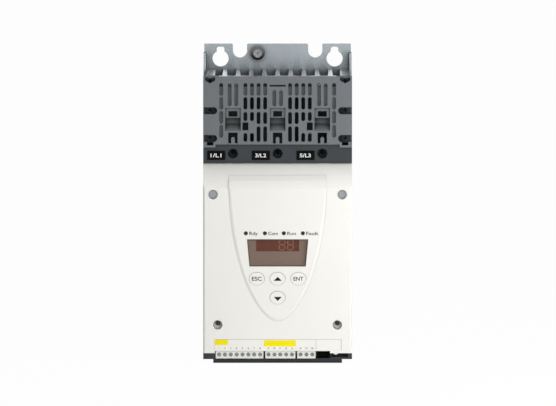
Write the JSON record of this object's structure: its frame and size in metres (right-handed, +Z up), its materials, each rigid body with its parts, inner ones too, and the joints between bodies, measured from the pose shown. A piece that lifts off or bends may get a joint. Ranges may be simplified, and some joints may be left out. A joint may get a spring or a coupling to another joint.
{
  "type": "soft starter",
  "caption": "Tall panel-mounted motor soft starter with a finned heat sink behind, a slotted grey terminal cover above and a pale front with a keypad and display.",
  "frame": {"origin": "bottom centre of the whole device", "axes": "+Z up, +X to the right seen from the front, +Y back towards the panel it is screwed to"},
  "size_m": [0.13, 0.169, 0.265],
  "materials": {
    "pale_plastic": "fine matt texture",
    "mid_grey_plastic": "fine matt texture",
    "dark_grey_plastic": "fine matt texture",
    "black_plastic": "matt",
    "key_plastic": "smooth matt",
    "window_plastic": "glossy tinted",
    "light_pipe": "glossy tinted",
    "terminal_plastic": "smooth matt",
    "circuit_board": "solder resist",
    "relay_plastic": "smooth",
    "transformer_tape": "wound tape",
    "capacitor_sleeve": "shrink sleeve",
    "potting": "cast resin",
    "plate_steel": "zinc-coated sheet",
    "sink_aluminium": "extruded, as drawn",
    "screw_steel": "zinc plated",
    "black_screw": "blackened",
    "busbar_copper": "rolled copper",
    "lug_metal": "tin plated"
  },
  "bodies": {
    "base": {"mounting_plate": "plate_steel", "heat_sink": "sink_aluminium", "housing": "dark_grey_plastic", "terminal_cover": "mid_grey_plastic", "front_cover": "pale_plastic", "control_panel": "pale_plastic", "display_window": "window_plastic", "display_module": "black_plastic", "status_lights": "light_pipe", "control_board": "circuit_board", "key_switches": "black_plastic", "terminal_block_8": "terminal_plastic", "terminal_block_5": "terminal_plastic", "terminal_block_3": "terminal_plastic", "control_terminal_screws": "screw_steel", "serial_socket": "black_plastic", "power_board": "circuit_board", "board_standoffs": "screw_steel", "board_spacers": "screw_steel", "board_link": "black_plastic", "supply_transformer": "transformer_tape", "capacitors": "capacitor_sleeve", "thyristor_screws": "screw_steel", "busbar_screws": "screw_steel", "lug_screws": "black_screw", "thermostat": "black_plastic", "earth_screw": "screw_steel", "earth_washer": "screw_steel", "plate_screws": "screw_steel", "housing_screws": "screw_steel", "front_cover_screws": "screw_steel", "terminal_cover_screws": "black_screw", "marking_tags": "black_plastic", "thyristor_1": "black_plastic", "bypass_relay_1": "relay_plastic", "line_busbar_1": "busbar_copper", "motor_busbar_1": "busbar_copper", "line_lug_1": "lug_metal", "motor_lug_1": "lug_metal", "current_transformer_1": "potting", "thyristor_2": "black_plastic", "bypass_relay_2": "relay_plastic", "line_busbar_2": "busbar_copper", "motor_busbar_2": "busbar_copper", "line_lug_2": "lug_metal", "motor_lug_2": "lug_metal", "current_transformer_2": "potting", "thyristor_3": "black_plastic", "bypass_relay_3": "relay_plastic", "line_busbar_3": "busbar_copper", "motor_busbar_3": "busbar_copper", "line_lug_3": "lug_metal", "motor_lug_3": "lug_metal", "current_transformer_3": "potting"},
    "key_escape_body": {"key_escape": "key_plastic"},
    "key_up_body": {"key_up": "key_plastic"},
    "key_enter_body": {"key_enter": "key_plastic"},
    "key_down_body": {"key_down": "key_plastic"}
  },
  "joints": [
    {"name": "key_escape_press", "type": "slide", "parent": "base", "child": "key_escape_body", "axis": [0, 1, 0], "range_m": [0, 0.0006], "stiffness_N_per_m": 1200},
    {"name": "key_up_press", "type": "slide", "parent": "base", "child": "key_up_body", "axis": [0, 1, 0], "range_m": [0, 0.0006], "stiffness_N_per_m": 1200},
    {"name": "key_enter_press", "type": "slide", "parent": "base", "child": "key_enter_body", "axis": [0, 1, 0], "range_m": [0, 0.0006], "stiffness_N_per_m": 1200},
    {"name": "key_down_press", "type": "slide", "parent": "base", "child": "key_down_body", "axis": [0, 1, 0], "range_m": [0, 0.0006], "stiffness_N_per_m": 1200}
  ]
}
